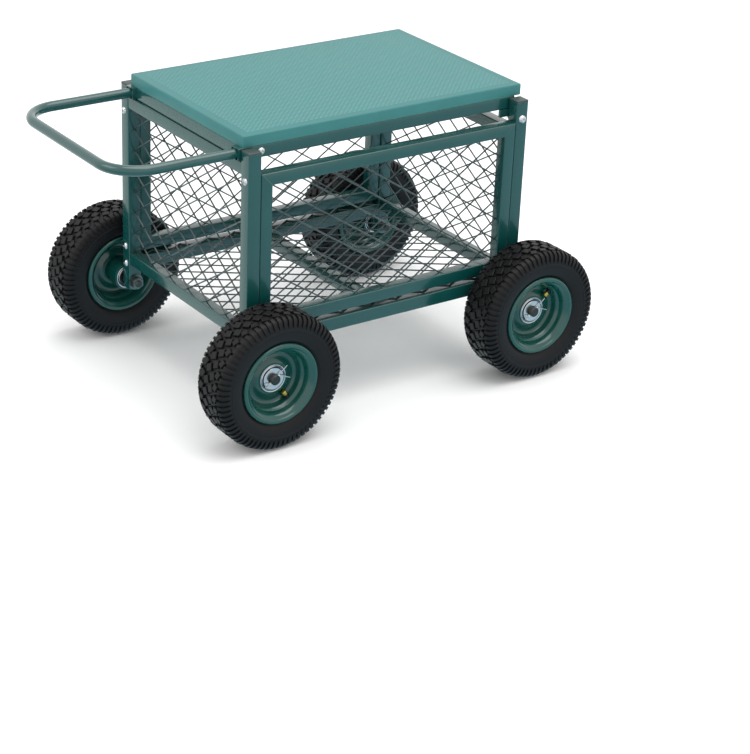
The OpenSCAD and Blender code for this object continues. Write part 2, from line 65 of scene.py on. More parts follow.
# %% Camera
uprights_x = (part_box("front_left_post")[0].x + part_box("rear_left_post")[1].x) / 2
look_at = Vector((uprights_x + 0.0574, -0.0894, -0.0301))
turn, tip, roll, away = 0.631, 0.452, 0.045, 3.6
view = Vector((math.sin(turn) * math.cos(tip), math.cos(turn) * math.cos(tip), -math.sin(tip)))
camera = bpy.data.objects.new("camera", bpy.data.cameras.new("camera"))
scene.collection.objects.link(camera)
camera.location = look_at - view * away
camera.rotation_mode = "QUATERNION"
camera.rotation_quaternion = view.to_track_quat("-Z", "Y") @ Quaternion((0, 0, 1), roll)
camera.data.lens = 104.0
camera.data.clip_end = 60.0
scene.camera = camera
print("camera at", [round(v, 3) for v in camera.location])

# %% [markdown]
# ## Light and floor
# A studio for small goods is a white sweep under large soft lights. The world stands for the room: white all
# round, and below eye level bluish on the near side and paler beyond, so that upright enamel keeps its depth.
# Two broad area lights add direction: one high on the near side, one behind the handle. The floor is one big
# matte sheet that is lit close to white, so the tyres get faint contact shadows and no horizon shows.

# %% World, lights and floor
world = bpy.data.worlds.new("studio")
world.use_nodes = True
room = world.node_tree
compass = room.nodes.new("ShaderNodeSeparateXYZ")
room.links.new(room.nodes.new("ShaderNodeTexCoord").outputs["Generated"], compass.inputs[0])
walls = room.nodes.new("ShaderNodeValToRGB")
near_wall, far_wall, white = (0.46, 0.66, 0.78, 1.0), (0.88, 0.95, 0.90, 1.0), (1.0, 1.0, 1.0, 1.0)
walls.color_ramp.elements[0].color = near_wall
walls.color_ramp.elements[1].color = far_wall
ceiling = room.nodes.new("ShaderNodeMix")
ceiling.data_type = "RGBA"
ceiling.inputs[7].default_value = white
room.links.new(compass.outputs["Y"], walls.inputs[0])
above = room.nodes.new("ShaderNodeMapRange")
above.inputs["From Min"].default_value, above.inputs["From Max"].default_value = -0.25, -0.05
room.links.new(compass.outputs["Z"], above.inputs["Value"])
room.links.new(above.outputs["Result"], ceiling.inputs[0])
room.links.new(walls.outputs[0], ceiling.inputs[6])
room.links.new(ceiling.outputs[2], room.nodes["Background"].inputs["Color"])
room.nodes["Background"].inputs["Strength"].default_value = 1.0
scene.world = world
scene.view_settings.view_transform = "Standard"


def soft_light(name, place, target, size, power):
    lamp = bpy.data.lights.new(name, "AREA")
    lamp.shape, lamp.size, lamp.energy = "SQUARE", size, power
    holder = bpy.data.objects.new(name, lamp)
    scene.collection.objects.link(holder)
    holder.location = place
    holder.rotation_mode = "QUATERNION"
    holder.rotation_quaternion = (Vector(target) - Vector(place)).to_track_quat("-Z", "Y")
    return holder


soft_light("overhead", (0.5, -0.7, 4.2), (0.0, 0.0, 0.0), 4.0, 110.0)
soft_light("behind_handle", (-2.8, 0.6, 2.4), (0.0, 0.0, 0.3), 1.8, 18.0)

floor_mesh = bpy.data.meshes.new("floor_sheet")
sheet = bmesh.new()
bmesh.ops.create_grid(sheet, x_segments=1, y_segments=1, size=40.0)
sheet.to_mesh(floor_mesh)
sheet.free()
floor = bpy.data.objects.new("floor_sheet", floor_mesh)
scene.collection.objects.link(floor)
floor.visible_glossy = False
print("studio ready")

# %% [markdown]
# ## Shared effects
# Real enamel is never one flat value. It has a fine orange peel from the spray gun, a little dust where it faces
# the sky, and thin worn lines on the corners. Each effect is a node group with its own inputs, built once and put
# into each finish with different values. A group hands out only masks and heights; the shader itself stays in the
# material, where the exporter can read it.

# %% Helper that starts a node group


def start_group(name, inputs, outputs):
    tree = bpy.data.node_groups.new(name, "ShaderNodeTree")
    for label, value in inputs:
        socket = tree.interface.new_socket(name=label, in_out="INPUT", socket_type="NodeSocketFloat")
        socket.default_value = value
    for label in outputs:
        tree.interface.new_socket(name=label, in_out="OUTPUT", socket_type="NodeSocketFloat")
    return tree, tree.nodes.new("NodeGroupInput").outputs, tree.nodes.new("NodeGroupOutput").inputs


def math_node(tree, operation, a, b=None):
    node = tree.nodes.new("ShaderNodeMath")
    node.operation = operation
    for socket, value in zip(node.inputs, (a, b)):
        if isinstance(value, (int, float)):
            socket.default_value = value
        elif value is not None:
            tree.links.new(value, socket)
    return node.outputs[0]


def noise_node(tree, vector, scale, detail=2.0):
    node = tree.nodes.new("ShaderNodeTexNoise")
    node.inputs["Detail"].default_value = detail
    if isinstance(scale, (int, float)):
        node.inputs["Scale"].default_value = scale
    else:
        tree.links.new(scale, node.inputs["Scale"])
    tree.links.new(vector, node.inputs["Vector"])
    return node.outputs["Fac"]


def object_place(tree):
    return tree.nodes.new("ShaderNodeTexCoord").outputs["Object"]


print("helpers for node groups ready")

# %% Orange peel and mottling: two sizes of noise
peel, given, out = start_group("orange_peel", [("Scale", 600.0), ("Depth", 1.0)], ["Height", "Mottle"])
fine = noise_node(peel, object_place(peel), given["Scale"])
peel.links.new(math_node(peel, "MULTIPLY", fine, given["Depth"]), out["Height"])
peel.links.new(noise_node(peel, object_place(peel), 22.0, 4.0), out["Mottle"])
print("group", peel.name)

# %% Dust: a patchy mask on whatever faces the sky
dust, given, out = start_group("settled_dust", [("Amount", 0.3), ("Patch", 18.0)], ["Mask"])
facing = dust.nodes.new("ShaderNodeSeparateXYZ")
dust.links.new(dust.nodes.new("ShaderNodeNewGeometry").outputs["Normal"], facing.inputs[0])
sky = math_node(dust, "MAXIMUM", facing.outputs["Z"], 0.0)
patch = noise_node(dust, object_place(dust), given["Patch"], 6.0)
dust.links.new(math_node(dust, "MULTIPLY", math_node(dust, "MULTIPLY", sky, patch), given["Amount"]), out["Mask"])
print("group", dust.name)

# %% Worn corners: where the rounded normal leaves the flat one, broken up by noise
wear, given, out = start_group("worn_corners", [("Amount", 0.5), ("Grain", 90.0)], ["Mask"])
rounded = wear.nodes.new("ShaderNodeBevel")
rounded.inputs["Radius"].default_value = 0.0012
rounded.samples = 4
flat = wear.nodes.new("ShaderNodeNewGeometry").outputs["Normal"]
compare = wear.nodes.new("ShaderNodeVectorMath")
compare.operation = "DOT_PRODUCT"
wear.links.new(rounded.outputs[0], compare.inputs[0])
wear.links.new(flat, compare.inputs[1])
bend = math_node(wear, "MULTIPLY", math_node(wear, "SUBTRACT", 1.0, compare.outputs["Value"]), 6.0)
spots = math_node(wear, "SUBTRACT", noise_node(wear, object_place(wear), given["Grain"], 6.0), 0.46)
broken = math_node(wear, "MULTIPLY", math_node(wear, "MAXIMUM", spots, 0.0), 8.0)
mask = math_node(wear, "MULTIPLY", math_node(wear, "MULTIPLY", bend, broken), given["Amount"])
wear.links.new(math_node(wear, "MINIMUM", mask, 1.0), out["Mask"])
print("group", wear.name)

# %% Crossed ribs: the diamond emboss on the seat, with a plain border
ribs, given, out = start_group(
    "crossed_ribs", [("Pitch", 0.0061), ("Half length", 0.24), ("Half width", 0.15)], ["Height"]
)
centred = ribs.nodes.new("ShaderNodeSeparateXYZ")
seat_low, seat_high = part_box("lid_panel")
seat_middle = (seat_low + seat_high) / 2
shift = ribs.nodes.new("ShaderNodeMapping")
shift.inputs["Location"].default_value = -seat_middle
ribs.links.new(object_place(ribs), shift.inputs["Vector"])
ribs.links.new(shift.outputs[0], centred.inputs[0])
along, across = centred.outputs["X"], centred.outputs["Y"]
waves = []
for way in ("ADD", "SUBTRACT"):
    slant = math_node(ribs, "DIVIDE", math_node(ribs, way, along, across), math.sqrt(2.0))
    wave = math_node(ribs, "PINGPONG", math_node(ribs, "DIVIDE", slant, given["Pitch"]), 0.5)
    waves.append(math_node(ribs, "MULTIPLY", wave, 2.0))
diamond = math_node(ribs, "MINIMUM", waves[0], waves[1])
inside = []
for reach, line in (("Half length", along), ("Half width", across)):
    left = math_node(ribs, "SUBTRACT", given[reach], math_node(ribs, "ABSOLUTE", line))
    edge = math_node(ribs, "MULTIPLY", left, 500.0)
    inside.append(math_node(ribs, "MINIMUM", math_node(ribs, "MAXIMUM", edge, 0.0), 1.0))
field = math_node(ribs, "MULTIPLY", inside[0], inside[1])
ribs.links.new(math_node(ribs, "MULTIPLY", diamond, field), out["Height"])
print("group", ribs.name)

# %% [markdown]
# ## Finishes
# The cart has five enamels, three rubbers or plastics and five bare metals. Each finish starts from one helper
# that makes a Principled shader, mixes its colour by the masks above, and gives it a bump. Plain values that are
# the same all over, such as coat and metal, are set straight on the shader.

# %% Helper that makes a finish


def place_group(tree, group, **values):
    node = tree.nodes.new("ShaderNodeGroup")
    node.node_tree = group
    for label, value in values.items():
        node.inputs[label.replace("_", " ")].default_value = value
    return node


def mix_colour(tree, mask, a, b):
    node = tree.nodes.new("ShaderNodeMix")
    node.data_type = "RGBA"
    for socket, value in ((node.inputs[6], a), (node.inputs[7], b)):
        if isinstance(value, tuple):
            socket.default_value = (*value, 1.0)
        else:
            tree.links.new(value, socket)
    tree.links.new(mask, node.inputs[0])
    return node.outputs[2]


def spread(tree, value, low, high):
    node = tree.nodes.new("ShaderNodeMapRange")
    node.inputs["To Min"].default_value = low
    node.inputs["To Max"].default_value = high
    tree.links.new(value, node.inputs["Value"])
    return node.outputs["Result"]


def finish(name, deep, light, rough, metal=0.0, coat=0.0, shine=0.5, peel_scale=600.0, peel_depth=1.0, bump=0.15,
           dusty=0.2, dust_tint=(0.42, 0.40, 0.36), worn=0.0, worn_tint=(0.35, 0.36, 0.36)):
    material = bpy.data.materials.new(name)
    material.use_nodes = True
    tree = material.node_tree
    shader = tree.nodes["Principled BSDF"]
    shader.inputs["Metallic"].default_value = metal
    shader.inputs["Coat Weight"].default_value = coat
    shader.inputs["Coat Roughness"].default_value = 0.08
    shader.inputs["Specular IOR Level"].default_value = shine
    skin = place_group(tree, peel, Scale=peel_scale, Depth=peel_depth)
    settled = place_group(tree, dust, Amount=dusty)
    colour = mix_colour(tree, skin.outputs["Mottle"], deep, light)
    colour = mix_colour(tree, settled.outputs["Mask"], colour, dust_tint)
    if worn:
        chips = place_group(tree, wear, Amount=worn)
        colour = mix_colour(tree, chips.outputs["Mask"], colour, worn_tint)
    tree.links.new(colour, shader.inputs["Base Color"])
    gloss = spread(tree, skin.outputs["Mottle"], rough * 0.85, rough * 1.15)
    gloss = math_node(tree, "ADD", gloss, math_node(tree, "MULTIPLY", settled.outputs["Mask"], 0.5))
    tree.links.new(gloss, shader.inputs["Roughness"])
    raised = tree.nodes.new("ShaderNodeBump")
    raised.inputs["Strength"].default_value = bump
    raised.inputs["Distance"].default_value = 0.0004
    tree.links.new(skin.outputs["Height"], raised.inputs["Height"])
    tree.links.new(raised.outputs["Normal"], shader.inputs["Normal"])
    print("finish", name)
    return material


# %% Paints, rubber and metals
frame_paint = finish("bottle_green_enamel", (0.002, 0.050, 0.046), (0.004, 0.066, 0.062), 0.20, coat=0.7,
                     dusty=0.04, worn=0.15)
wire_paint = finish("wire_enamel", (0.010, 0.030, 0.032), (0.018, 0.046, 0.048), 0.32, coat=0.4, dusty=0.05)
seat_paint = finish("seat_teal", (0.020, 0.150, 0.148), (0.028, 0.184, 0.182), 0.42, dusty=0.03,
                    worn=0.12, worn_tint=(0.22, 0.38, 0.37))
liner_paint = finish("liner_grey_teal", (0.14, 0.32, 0.30), (0.18, 0.38, 0.35), 0.45, dusty=0.0)
rim_paint = finish("rim_enamel", (0.000, 0.050, 0.042), (0.001, 0.066, 0.055), 0.20, coat=0.5, dusty=0.02)
rubber = finish("tyre_rubber", (0.0035, 0.0035, 0.004), (0.007, 0.007, 0.008), 0.46, shine=0.25,
                peel_scale=260.0, bump=0.35, dusty=0.02, dust_tint=(0.10, 0.09, 0.08))
zinc = finish("bright_zinc", (0.62, 0.63, 0.64), (0.78, 0.78, 0.78), 0.20, metal=1.0, bump=0.06, dusty=0.04)
race_steel = finish("ground_steel", (0.58, 0.59, 0.60), (0.74, 0.74, 0.75), 0.18, metal=1.0, bump=0.05, dusty=0.0)
aged_zinc = finish("aged_zinc", (0.10, 0.13, 0.12), (0.20, 0.24, 0.23), 0.35, metal=1.0, bump=0.08, dusty=0.05)
axle_steel = finish("oiled_steel", (0.045, 0.055, 0.05), (0.10, 0.10, 0.095), 0.30, metal=1.0, bump=0.10, dusty=0.0)
seal_rubber = finish("bearing_seal", (0.006, 0.006, 0.006), (0.012, 0.012, 0.012), 0.45, dusty=0.0)
cap_plastic = finish("cap_plastic", (0.020, 0.040, 0.038), (0.032, 0.055, 0.052), 0.42, peel_scale=900.0, bump=0.25,
                     dusty=0.08)
brass = finish("valve_brass", (0.42, 0.33, 0.06), (0.55, 0.44, 0.12), 0.28, metal=1.0, bump=0.05, dusty=0.0)

# %% The seat's emboss is added to its own finish, under the orange peel, and its rib crests are tinted lighter as a painted highlight
tree = seat_paint.node_tree
emboss = place_group(tree, ribs, Half_length=(seat_high.x - seat_low.x) / 2 - 0.014,
                     Half_width=(seat_high.y - seat_low.y) / 2 - 0.012)
pressed = tree.nodes.new("ShaderNodeBump")
pressed.inputs["Strength"].default_value = 0.9
pressed.inputs["Distance"].default_value = 0.0012
base = tree.nodes["Principled BSDF"].inputs["Base Color"]
# The rib crests are mixed towards a pale teal: a painted highlight that stands in for light catching the raised ribs.
rib_painted_highlight = mix_colour(tree, math_node(tree, "MULTIPLY", emboss.outputs["Height"], 0.45), base.links[0].from_socket,
                   (0.12, 0.40, 0.38))
tree.links.new(rib_painted_highlight, base)
tree.links.new(emboss.outputs["Height"], pressed.inputs["Height"])
upper_bump = tree.nodes["Bump"]
tree.links.new(pressed.outputs["Normal"], upper_bump.inputs["Normal"])
print("seat emboss added")

# %% The floor sheet
sheet_paint = bpy.data.materials.new("white_sweep")
sheet_paint.use_nodes = True
sheet_tree = sheet_paint.node_tree
sheet_tone = mix_colour(sheet_tree, noise_node(sheet_tree, object_place(sheet_tree), 2.0), (0.95, 0.95, 0.95),
                        (0.97, 0.97, 0.97))
sheet_tree.links.new(sheet_tone, sheet_tree.nodes["Principled BSDF"].inputs["Base Color"])
sheet_tree.nodes["Principled BSDF"].inputs["Roughness"].default_value = 0.9
sheet_tree.nodes["Principled BSDF"].inputs["Specular IOR Level"].default_value = 0.0
floor.data.materials.append(sheet_paint)
print("floor painted")

# %% [markdown]
# ## Modelling helpers
# Nearly all of the cart is one of three shapes: a square tube with rolled corners, a profile turned about an axle,
# or a round tube with bends. One helper makes each, and a last helper turns a finished bmesh into a piece that
# rides on its body. Corners that are sharper than a set angle keep a hard shading line, the rest shade smoothly.

# %% From a bmesh to a piece


def add_piece(bm, name, body, material, stands_for=(), sharp=40.0):
    bmesh.ops.remove_doubles(bm, verts=bm.verts[:], dist=1e-6)
    for face in bm.faces:
        face.smooth = True
    for edge in bm.edges:
        edge.smooth = len(edge.link_faces) == 2 and edge.calc_face_angle(0.0) < math.radians(sharp)
    mesh = bpy.data.meshes.new(name)
    bm.to_mesh(mesh)
    bm.free()
    for one in material if isinstance(material, tuple) else (material,):
        mesh.materials.append(one)
    piece = bpy.data.objects.new(name, mesh)
    scene.collection.objects.link(piece)
    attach(piece, body)
    if stands_for:
        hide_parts(*stands_for)
    print(f"{name}: {len(mesh.polygons)} faces")
    return piece


def merge(target, part, matrix=None, tint=None):
    if matrix is not None:
        bmesh.ops.transform(part, matrix=matrix, verts=part.verts[:])
    if tint is not None:
        for face in part.faces:
            face.material_index = tint
    carrier = bpy.data.meshes.new("carrier")
    part.to_mesh(carrier)
    part.free()
    target.from_mesh(carrier)
    bpy.data.meshes.remove(carrier)
    return target


def round_edges(bm, edges, radius, segments):
    bmesh.ops.bevel(bm, geom=edges, offset=radius, offset_type="OFFSET", affect="EDGES", segments=segments,
                    profile=0.5, material=-1, clamp_overlap=True)


print("helpers for pieces ready")

# %% A block, a bar with rolled long edges, and the same bar made hollow


def block(low, high):
    bm = bmesh.new()
    bmesh.ops.create_cube(bm, size=1.0)
    bmesh.ops.scale(bm, vec=high - low, verts=bm.verts[:])
    bmesh.ops.translate(bm, vec=(low + high) / 2, verts=bm.verts[:])
    return bm


def square_bar(low, high, wall=0.0, corner=1.8 * MM):
    bm = block(low, high)
    size = high - low
    run = max(range(3), key=lambda i: size[i])
    along = [e for e in bm.edges if abs((e.verts[1].co - e.verts[0].co)[run]) > size[run] / 2]
    round_edges(bm, along, corner, 4)
    if wall:
        ends = [f for f in bm.faces if abs(f.normal[run]) > 0.9]
        bmesh.ops.delete(bm, geom=ends, context="FACES")
        bmesh.ops.solidify(bm, geom=bm.faces[:], thickness=wall)
    return bm


def cut_off(bm, point, normal):
    done = bmesh.ops.bisect_plane(bm, geom=bm.verts[:] + bm.edges[:] + bm.faces[:], dist=1e-7, plane_co=point,
                                  plane_no=normal, clear_outer=True)
    rim = [e for e in done["geom_cut"] if isinstance(e, bmesh.types.BMEdge)]
    bmesh.ops.holes_fill(bm, edges=rim, sides=0)


print("helpers for bars ready")

# %% A profile turned about the Y axis


def turned(profile, steps=96, closed=False):
    """Spins (radius, outward) points about the Y axis; outward is -Y."""
    bm = bmesh.new()
    verts = [bm.verts.new((radius * MM, -out * MM, 0.0)) for radius, out in profile]
    for a, b in zip(verts, verts[1:] + verts[:1] if closed else verts[1:]):
        bm.edges.new((a, b))
    bmesh.ops.spin(bm, geom=bm.verts[:] + bm.edges[:], cent=(0, 0, 0), axis=(0, 1, 0), angle=2 * math.pi,
                   steps=steps, use_merge=True)
    bmesh.ops.remove_doubles(bm, verts=bm.verts[:], dist=1e-6)
    bmesh.ops.recalc_face_normals(bm, faces=bm.faces[:])
    return bm


print("helper for turned shapes ready")

# %% A round tube with flat bends


def bent_tube(start, heading, up, radius, runs, around, steps, capped=True):
    """Each run is a length, or a pair (bend radius, angle about up). A quarter turn has the given steps."""
    bm = bmesh.new()
    spot, heading, up = Vector(start), Vector(heading).normalized(), Vector(up).normalized()
    made = bmesh.ops.create_circle(bm, cap_ends=False, segments=around, radius=radius)
    bmesh.ops.transform(bm, matrix=Matrix.Translation(spot) @ heading.to_track_quat("Z", "Y").to_matrix().to_4x4(),
                        verts=made["verts"])
    ring = bm.edges[:]
    first = ring[:]
    for run in runs:
        if isinstance(run, tuple):
            bend, angle = run
            middle = spot + up.cross(heading) * bend * (1 if angle > 0 else -1)
            geom = ring + list({v for e in ring for v in e.verts})
            done = bmesh.ops.spin(bm, geom=geom, cent=middle, axis=up, angle=angle,
                                  steps=max(3, round(steps * abs(angle) / (math.pi / 2))), use_merge=False)
            ring = [e for e in done["geom_last"] if isinstance(e, bmesh.types.BMEdge)]
            spin = Matrix.Rotation(angle, 3, up)
            spot, heading = middle + spin @ (spot - middle), spin @ heading
        else:
            done = bmesh.ops.extrude_edge_only(bm, edges=ring)
            verts = [v for v in done["geom"] if isinstance(v, bmesh.types.BMVert)]
            bmesh.ops.translate(bm, vec=heading * run, verts=verts)
            ring = [e for e in done["geom"] if isinstance(e, bmesh.types.BMEdge) and
                    all(v in verts for v in e.verts)]
            spot = spot + heading * run
    if capped:
        bmesh.ops.holes_fill(bm, edges=first + ring, sides=0)
    bmesh.ops.recalc_face_normals(bm, faces=bm.faces[:])
    return bm


print("helper for bent tubes ready")

# %% [markdown]
# ## Uprights and caps
# Each corner upright is a length of square steel tube with rolled corners, open at its foot and plugged at its top
# by a moulded cap. A cube could be bevelled by hand each time; the tube helper does it from the frame's box, and
# the wall it leaves shows at the open foot.

# %% Four uprights
for end, side in CORNERS:
    low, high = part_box(f"{end}_{side}_post")
    add_piece(square_bar(low, high, wall=WALL), f"{end}_{side}_upright", CHASSIS, frame_paint,
              [f"{end}_{side}_post"])

# %% Four caps, with a soft crown
caps = bmesh.new()
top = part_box("post_caps")[1].z
for end, side in CORNERS:
    low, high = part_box(f"{end}_{side}_post")
    cap = block(Vector((low.x, low.y, high.z)), Vector((high.x, high.y, top)))
    upper = [e for e in cap.edges if all(v.co.z > top - 1e-5 for v in e.verts)]
    upright = [e for e in cap.edges if abs((e.verts[1].co - e.verts[0].co).z) > 1 * MM]
    round_edges(cap, upright + upper, 1.3 * MM, 4)
    merge(caps, cap)
add_piece(caps, "upright_caps", CHASSIS, cap_plastic, ["post_caps"], sharp=60)

# %% [markdown]
# ## Rails, side frames and floor bars
# Two rails join each pair of uprights. Each side frame is four tubes with mitred ends; a bar is made over length
# and a slanted plane cuts it at each corner, which leaves the fine mitre line the welder would see. The base rails
# are closed bars that carry the floor, with one crossbar between them.

# %% End rails and floor bars
for node in ("front_top_rail", "front_bottom_rail", "rear_top_rail", "rear_bottom_rail", "left_base_rail",
             "right_base_rail", "floor_crossbar"):
    low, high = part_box(node)
    add_piece(square_bar(low, high), node.replace("_rail", "_bar").replace("crossbar", "brace"), CHASSIS,
              frame_paint, [node])

# %% Side frames with mitred corners
for side in ("left", "right"):
    low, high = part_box(f"{side}_side_frame")
    four_tubes = bmesh.new()
    for edge, lift, slope in ((low.z, low.z, 1), (high.z, high.z - RAIL, -1)):
        bar = square_bar(Vector((low.x, low.y, lift)), Vector((high.x, high.y, lift + RAIL)))
        cut_off(bar, Vector((low.x, 0, edge)), Vector((-1, 0, slope)))
        cut_off(bar, Vector((high.x, 0, edge)), Vector((1, 0, slope)))
        merge(four_tubes, bar)
    for edge, start, slope in ((low.x, low.x, 1), (high.x, high.x - RAIL, -1)):
        bar = square_bar(Vector((start, low.y, low.z)), Vector((start + RAIL, high.y, high.z)))
        cut_off(bar, Vector((edge, 0, low.z)), Vector((slope, 0, -1)))
        cut_off(bar, Vector((edge, 0, high.z)), Vector((slope, 0, 1)))
        merge(four_tubes, bar)
    add_piece(four_tubes, f"{side}_mitred_frame", CHASSIS, frame_paint, [f"{side}_side_frame"])

# %% [markdown]
# ## Wire mesh
# The five panels are straight round wires that cross in diamonds and are welded where they meet. A wire is a
# long thin cylinder; a row of them is made for each slant, and four planes trim the whole field to its window.
# The two rows lie a hair apart in depth, because pressed wires sink into each other at a weld.

# %% A field of crossed wires
DIAMOND_L, DIAMOND_H = 54 * MM, 34.5 * MM
WIRE_R, WIRE_LIFT, WIRE_PAST = 1.2 * MM, 0.45 * MM, 0.3 * MM


def wire_field(length, height):
    """Crossed wires in the XY plane, centred on the origin."""
    field = bmesh.new()
    columns, rows = round(2 * length / DIAMOND_L), round(2 * height / DIAMOND_H)
    step = Vector((length / columns, height / rows))
    reach = (length + height) * 2.2
    for way in (1, -1):
        slant = math.atan2(step.y, way * step.x)
        for k in range(-2 * rows, columns + 2 * rows + 1, 2):
            across_x = k * step.x - length / 2 + way * rows * step.x / 2
            matrix = (Matrix.Translation((across_x, 0.0, way * WIRE_LIFT)) @ Matrix.Rotation(slant, 4, "Z")
                      @ Matrix.Rotation(math.pi / 2, 4, "Y"))
            bmesh.ops.create_cone(field, cap_ends=False, segments=8, radius1=WIRE_R, radius2=WIRE_R,
                                  depth=reach, matrix=matrix)
    for normal, far in (((1, 0, 0), length / 2), ((-1, 0, 0), length / 2), ((0, 1, 0), height / 2),
                        ((0, -1, 0), height / 2)):
        cut_off(field, Vector(normal) * (far + WIRE_PAST), Vector(normal))
    return field


print("helper for wire fields ready")

# %% Five panels, each laid in its own plane
END_ON = Matrix(((0, 0, 1, 0), (1, 0, 0, 0), (0, 1, 0, 0), (0, 0, 0, 1)))
SIDE_ON = Matrix(((1, 0, 0, 0), (0, 0, 1, 0), (0, 1, 0, 0), (0, 0, 0, 1)))
for node, plane in (("front_mesh", END_ON), ("rear_mesh", END_ON), ("left_mesh", SIDE_ON),
                    ("right_mesh", SIDE_ON), ("floor_mesh", Matrix.Identity(4))):
    low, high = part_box(node)
    span = plane.to_3x3().transposed() @ (high - low)
    field = wire_field(abs(span.x), abs(span.y))
    bmesh.ops.transform(field, matrix=Matrix.Translation((low + high) / 2) @ plane, verts=field.verts[:])
    bmesh.ops.recalc_face_normals(field, faces=field.faces[:])
    add_piece(field, node.replace("_mesh", "_wires"), CHASSIS, wire_paint, [node])

# %% [markdown]
# ## Bolts and nuts
# Button-head bolts hold the side frames, the handle and the hinge. A head is a turned dome with a hexagon socket:
# the ring at the socket's mouth is bridged to a six-sided pit. Nuts are hexagons with chamfered corners. The
# frame says where each bolt sits, so a helper reads the box of each loose part of a node.

# %% Where the separate parts of a node are


def loose_parts(node):
    """Low and high corner of every separate solid in a node."""
    copy = bmesh.new()
    copy.from_mesh(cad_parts[node].data)
    bmesh.ops.remove_doubles(copy, verts=copy.verts[:], dist=1e-6)
    waiting, found = set(copy.verts), []
    while waiting:
        stack, group = [waiting.pop()], []
        while stack:
            vert = stack.pop()
            group.append(vert.co.copy())
            for edge in vert.link_edges:
                other = edge.other_vert(vert)
                if other in waiting:
                    waiting.remove(other)
                    stack.append(other)
        low = Vector([min(c[i] for c in group) for i in range(3)])
        high = Vector([max(c[i] for c in group) for i in range(3)])
        found.append((low, high))
    copy.free()
    return found


print("helper for loose parts ready")

# %% A button head with a hexagon socket, and a threaded shank


def button_bolt(head_r, head_h, shank_r, shank, turns):
    """Stands on the origin, its head towards -Y. Sizes in millimetres."""
    dome = [(shank_r, 0.0), (head_r, 0.0), (head_r, 0.12 * head_h), (0.93 * head_r, 0.38 * head_h),
            (0.79 * head_r, 0.66 * head_h), (0.62 * head_r, 0.87 * head_h), (0.46 * head_r, 0.97 * head_h),
            (0.40 * head_r, head_h)]
    bm = turned(dome, steps=24)
    mouth = [e for e in bm.edges if e.is_boundary and abs(e.verts[0].co.y + head_h * MM) < 1e-6]
    pit = bmesh.ops.create_circle(bm, cap_ends=False, segments=6, radius=0.36 * head_r * MM,
                                  matrix=Matrix.Translation((0, -head_h * MM * 0.96, 0)) @
                                  Matrix.Rotation(math.pi / 2, 4, "X"))
    lip = [e for e in bm.edges if all(v in pit["verts"] for v in e.verts)]
    bmesh.ops.bridge_loops(bm, edges=mouth + lip)
    sunk = bmesh.ops.extrude_edge_only(bm, edges=lip)
    bottom = [v for v in sunk["geom"] if isinstance(v, bmesh.types.BMVert)]
    bmesh.ops.translate(bm, vec=(0, head_h * MM * 0.5, 0), verts=bottom)
    bmesh.ops.contextual_create(bm, geom=bottom)
    rod = [(0.0, -shank), (shank_r - 0.7, -shank), (shank_r - 0.2, 0.7 - shank)]
    for k in range(turns):
        rod += [(shank_r - 0.45, 0.9 - shank + k), (shank_r, 1.4 - shank + k)]
    rod += [(shank_r, 0.0)]
    merge(bm, turned(rod, steps=24))
    bmesh.ops.recalc_face_normals(bm, faces=bm.faces[:])
    return bm


def hex_nut(across, height):
    """Stands on the origin towards -Y. Sizes in millimetres."""
    bm = bmesh.new()
    bmesh.ops.create_cone(bm, cap_ends=True, segments=6, radius1=across / math.sqrt(3) * MM,
                          radius2=across / math.sqrt(3) * MM, depth=height * MM,
                          matrix=Matrix.Translation((0, -height * MM / 2, 0)) @ Matrix.Rotation(math.pi / 2, 4, "X"))
    round_edges(bm, bm.edges[:], 0.7 * MM, 2)
    return bm


# %% Lay fasteners on the places that the frame gives
FACING = {
    "-Y": Matrix.Identity(4),
    "+Y": Matrix.Rotation(math.pi, 4, "Z"),
    "-X": Matrix.Rotation(-math.pi / 2, 4, "Z"),
    "+X": Matrix.Rotation(math.pi / 2, 4, "Z"),
}


def lay_bolts(node, name, body, head_r, head_h, shank_r, turns, axis=1):
    """Bolts along X (axis 0) or Y (axis 1), each with its head outside the cart. Sizes in millimetres."""
    group = bmesh.new()
    for low, high in loose_parts(node):
        seat = (low + high) / 2
        minus = seat.x < uprights_x if axis == 0 else low.y < 0
        seat[axis] = low[axis] + head_h * MM if minus else high[axis] - head_h * MM
        merge(group, button_bolt(head_r, head_h, shank_r, (high[axis] - low[axis]) / MM - head_h, turns),
              Matrix.Translation(seat) @ FACING[("-" if minus else "+") + "XY"[axis]])
    add_piece(group, name, body, zinc, [node], sharp=30)


def lay_nuts(node, name, body, across, height, outward):
    """Nuts along Y that look away from the cart, or towards its middle. Sizes in millimetres."""
    group = bmesh.new()
    for low, high in loose_parts(node):
        seat = (low + high) / 2
        minus = (low.y < 0) == outward
        seat.y = high.y if minus else low.y
        merge(group, hex_nut(across, height), Matrix.Translation(seat) @ FACING["-Y" if minus else "+Y"])
    add_piece(group, name, body, zinc, [node], sharp=30)


# %% Frame, hinge and handle fasteners
lay_bolts("frame_bolts", "frame_button_bolts", CHASSIS, 6.0, 3.5, 3.0, 0, axis=0)
lay_bolts("hinge_bolts", "hinge_button_bolts", CHASSIS, 7.0, 4.5, 4.0, 8)
lay_nuts("hinge_nuts", "hinge_hex_nuts", CHASSIS, 13.0, 6.5, outward=True)
lay_bolts("handle_bolts", "handle_button_bolts", LID, 6.0, 3.5, 3.0, 6)
lay_nuts("handle_nuts", "handle_hex_nuts", LID, 10.0, 5.0, outward=False)

# %% [markdown]
# ## Lid: rails, crossbars and seat
# The lid is a ladder of square tube under a folded steel seat. Its side rails are open at the front, where the
# handle slides in, so they are hollow. The seat is one sheet with its four sides folded down: a block with soft
# upper edges, its bottom taken away and a wall grown inwards.

